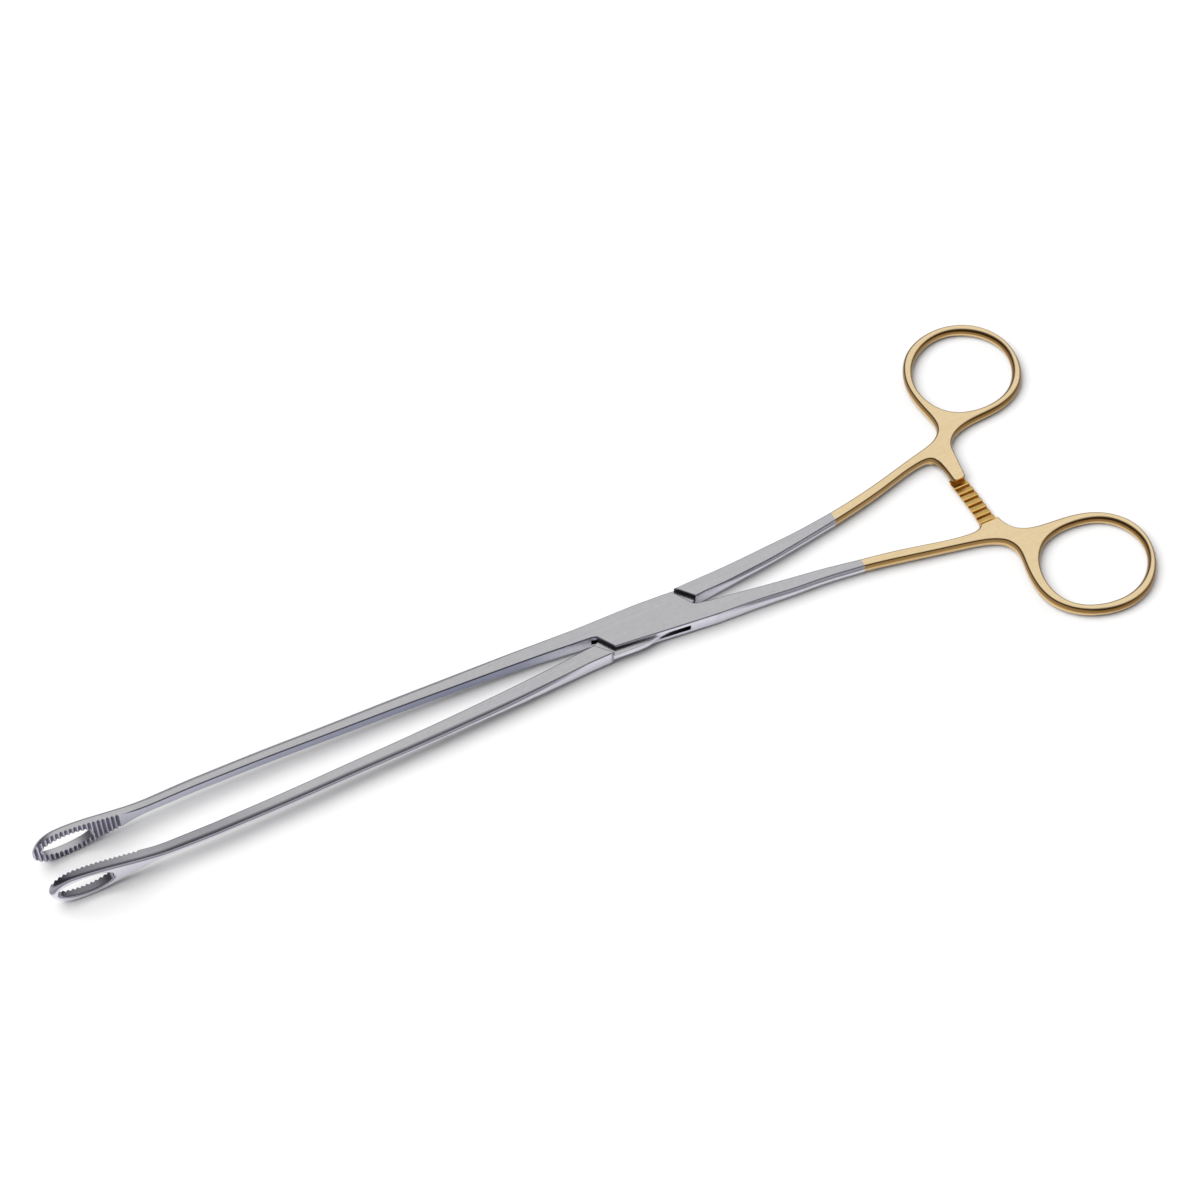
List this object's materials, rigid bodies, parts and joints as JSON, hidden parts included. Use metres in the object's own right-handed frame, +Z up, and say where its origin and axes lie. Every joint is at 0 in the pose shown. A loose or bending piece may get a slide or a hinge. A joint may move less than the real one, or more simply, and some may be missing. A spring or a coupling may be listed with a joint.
{
  "type": "ring forceps",
  "caption": "Slender box-lock ring forceps: serrated, windowed leaf jaws on long shanks, a flush pivot, gilt handles with interlocking ratchet bars and finger rings.",
  "frame": {"origin": "on the pivot axis, at the underside of the box lock", "axes": "+X along the instrument towards the finger rings, +Y towards the jaw of the box arm, +Z up out of the top plate of the box, along the pivot pin; the arms stand slightly open, as pictured"},
  "size_m": [0.2414, 0.082, 0.0095],
  "materials": {
    "satin_steel": "satin, brushed lengthwise",
    "gilt": "satin gold plating"
  },
  "bodies": {
    "box_arm": {"box_lock_housing": "satin_steel", "box_arm_front_shank": "satin_steel", "box_arm_jaw": "satin_steel", "box_arm_rear_shank": "satin_steel", "box_arm_handle": "gilt", "box_arm_ratchet_bar": "gilt", "box_arm_finger_ring": "gilt", "pivot_pin": "satin_steel"},
    "tongue_arm": {"tongue_lock_web": "satin_steel", "tongue_arm_front_shank": "satin_steel", "tongue_arm_jaw": "satin_steel", "tongue_arm_rear_shank": "satin_steel", "tongue_arm_handle": "gilt", "tongue_arm_ratchet_bar": "gilt", "tongue_arm_finger_ring": "gilt"}
  },
  "joints": [
    {"name": "lock_pivot", "type": "hinge", "parent": "box_arm", "child": "tongue_arm", "pos_m": [0, 0, 0.00195], "axis": [0, 0, 1], "range_deg": [-3.6, 45]}
  ]
}
